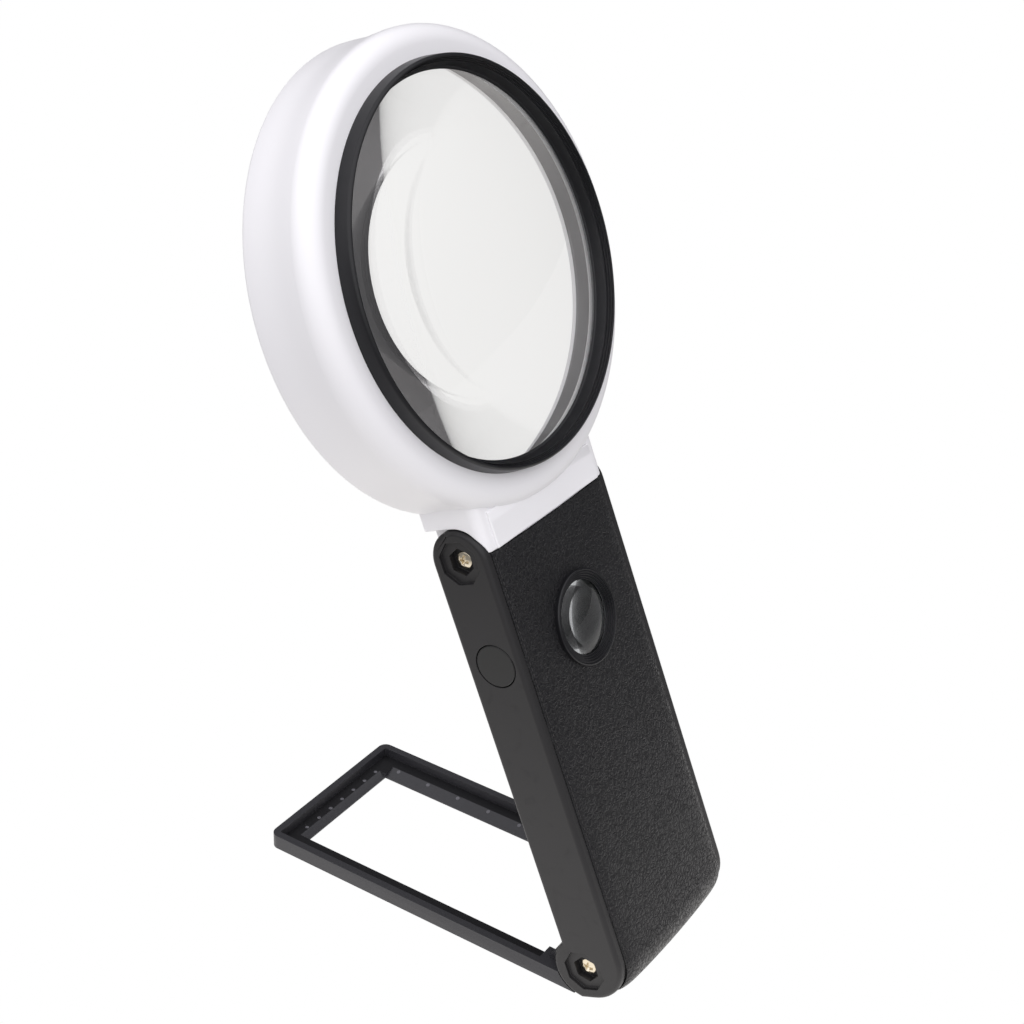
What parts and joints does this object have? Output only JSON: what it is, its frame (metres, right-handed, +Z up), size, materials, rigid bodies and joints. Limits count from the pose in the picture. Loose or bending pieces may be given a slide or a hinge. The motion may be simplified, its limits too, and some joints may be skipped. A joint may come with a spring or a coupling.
{
  "type": "illuminated folding hand lens",
  "caption": "Large round lens in a tilting white head on a flat leather-covered battery handle with a small loupe, a push button and a folding rectangular stand.",
  "frame": {"origin": "middle of the object's outline on the table, under the bottom of the bounding box", "axes": "+Z up from the table, +Y towards the far end of the stand, +X to the right seen from the front of the lens; the object is symmetric about X"},
  "size_m": [0.107, 0.1082, 0.2134],
  "materials": {
    "plate": "fine matte black",
    "cover": "matte black",
    "leather": "grained black leather with a stitched edge",
    "satin_black": "satin black",
    "white_shell": "satin white",
    "lens": "polished clear",
    "screw": "plated steel",
    "cell": "printed metal can",
    "board": "green circuit board",
    "lead": "insulated wire",
    "lamp": "clear lamp body",
    "frame": "matte black with pale ruler marks"
  },
  "bodies": {
    "stand": {"stand_frame": "frame", "stand_screws": "screw", "stand_nuts": "screw", "stand_washers": "screw"},
    "handle": {"side_plate_left": "plate", "side_plate_right": "plate", "front_cover": "cover", "leather_skin": "leather", "rear_cover": "cover", "cover_screws": "screw", "loupe_ring": "satin_black", "loupe_lens": "lens", "battery_tray": "cover", "battery_cells": "cell", "battery_springs": "screw", "contact_plates": "screw", "switch_board": "board", "tact_switch": "cover", "lead_wires": "lead"},
    "head": {"head_shell": "white_shell", "head_rear_cover": "white_shell", "bezel_ring": "satin_black", "main_lens": "lens", "led_board": "board", "leds": "lamp", "tilt_screws": "screw", "tilt_nuts": "screw", "tilt_washers": "screw"},
    "button": {"button_cap": "satin_black"},
    "door": {"battery_door": "cover"}
  },
  "joints": [
    {"name": "stand_fold", "type": "hinge", "parent": "stand", "child": "handle", "pos_m": [0, -0.04242, 0.00845], "axis": [-1, 0, 0], "range_deg": [-23.35, 66.65]},
    {"name": "head_tilt", "type": "hinge", "parent": "handle", "child": "head", "pos_m": [0, -0.00375, 0.10634], "axis": [-1, 0, 0], "range_deg": [0, 90]},
    {"name": "button_press", "type": "slide", "parent": "handle", "child": "button", "axis": [1, 0, 0], "range_m": [0, 0.0008], "stiffness_N_per_m": 1200, "springref_m": -0.0004},
    {"name": "door_swing", "type": "hinge", "parent": "handle", "child": "door", "pos_m": [0, -0.03372, 0.02027], "axis": [-1, 0, 0], "range_deg": [0, 75]}
  ]
}
